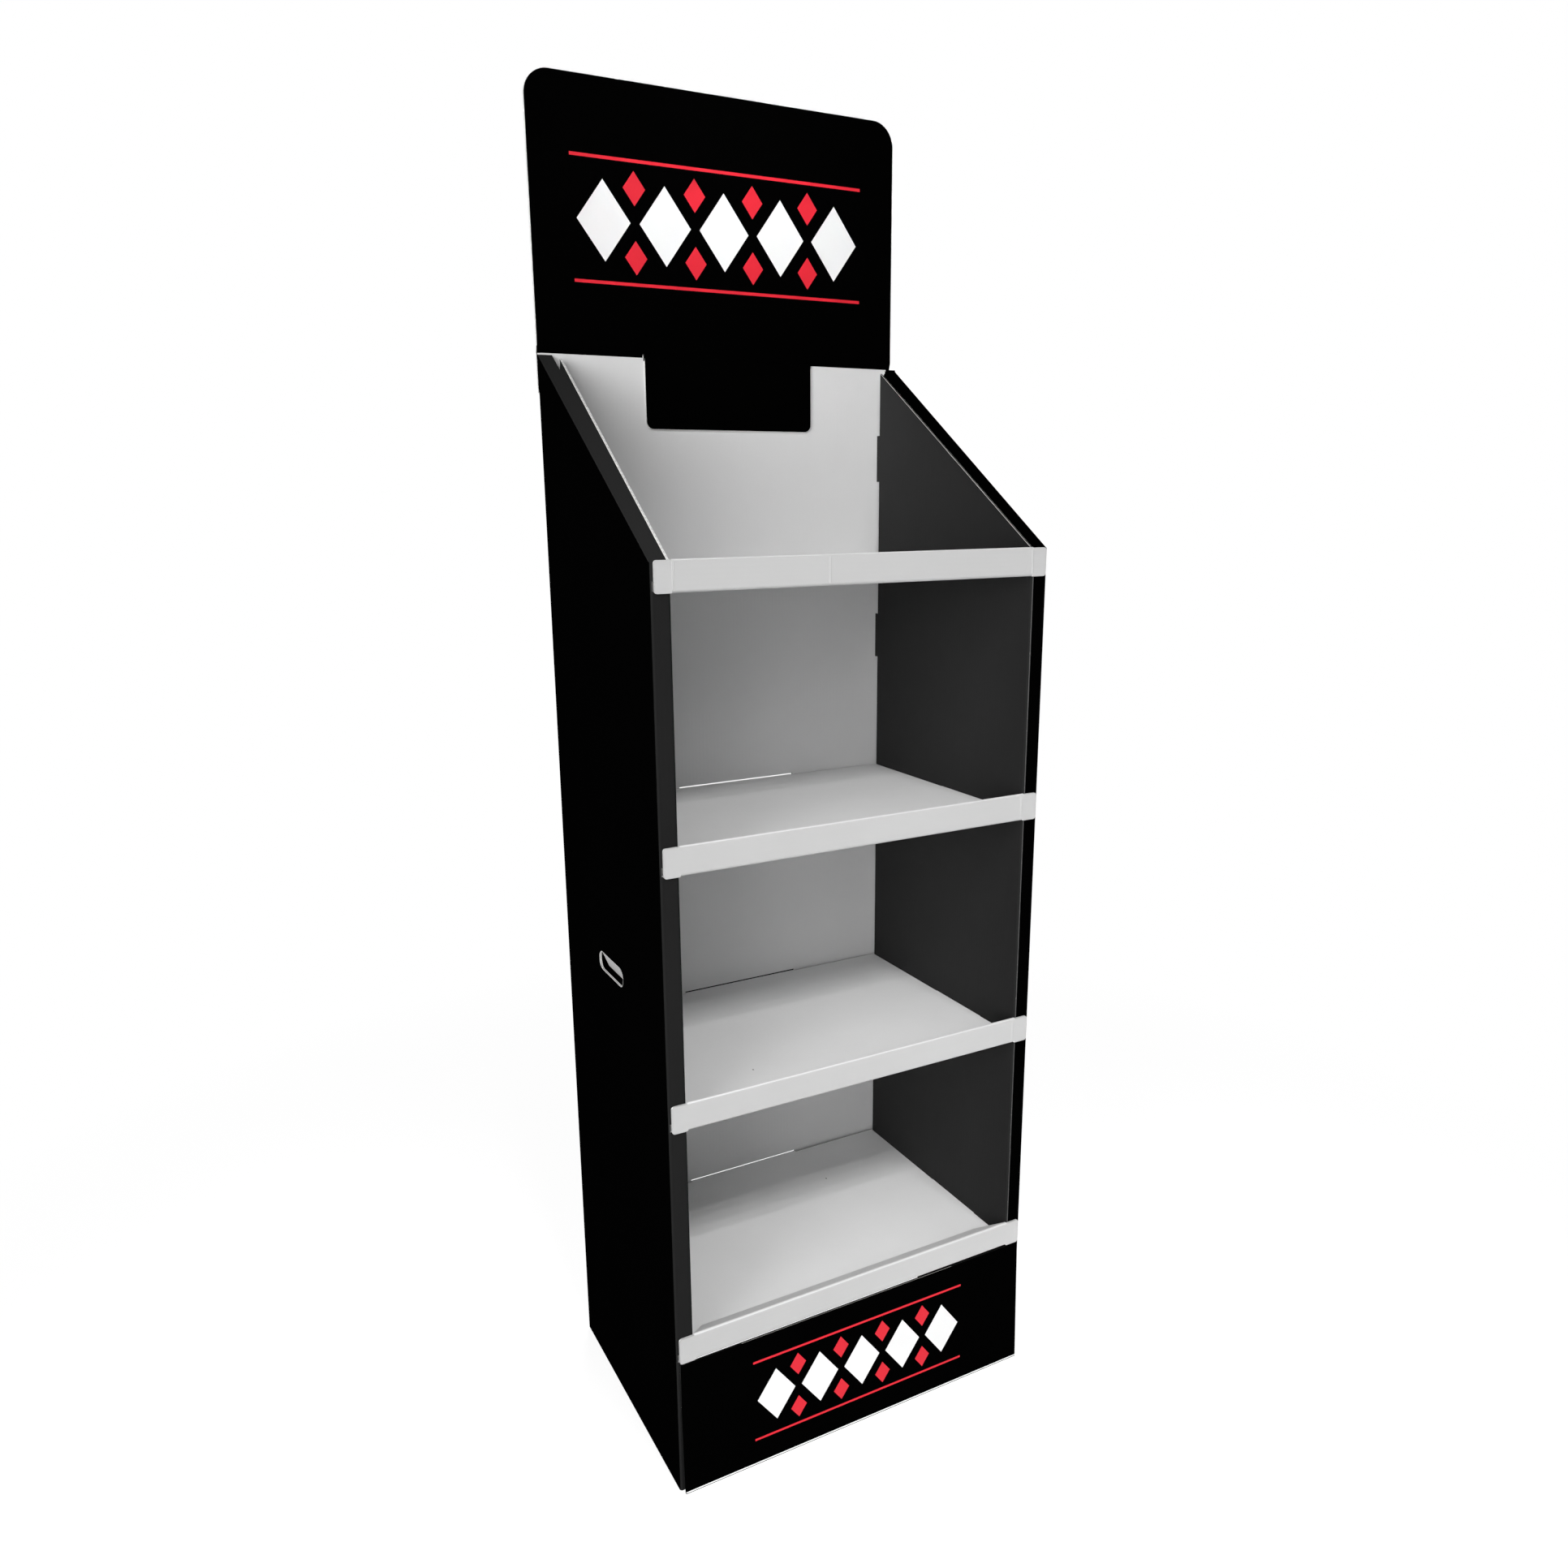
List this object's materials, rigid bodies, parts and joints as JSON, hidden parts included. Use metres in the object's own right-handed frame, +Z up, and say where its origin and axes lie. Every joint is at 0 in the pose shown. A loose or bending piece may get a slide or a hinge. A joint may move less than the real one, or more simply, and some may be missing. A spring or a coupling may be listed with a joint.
{
  "type": "display stand",
  "caption": "Free-standing floor display of folded corrugated board with hollow sloping side walls, lipped shelves, a plinth panel and a slotted header.",
  "frame": {"origin": "middle of the footprint, at floor level", "axes": "+Z up, the open front faces -Y, +X to the right seen from the front"},
  "size_m": [0.6, 0.412, 1.95],
  "materials": {
    "black_board": "matt black print on white corrugated board",
    "white_board": "matt white corrugated board",
    "printed_panel": "black print on white corrugated board"
  },
  "bodies": {
    "root": {"body": "black_board", "shelf_top": "white_board", "shelf_upper": "white_board", "shelf_lower": "white_board", "shelf_bottom": "white_board", "plinth": "printed_panel", "header": "printed_panel"}
  },
  "joints": []
}
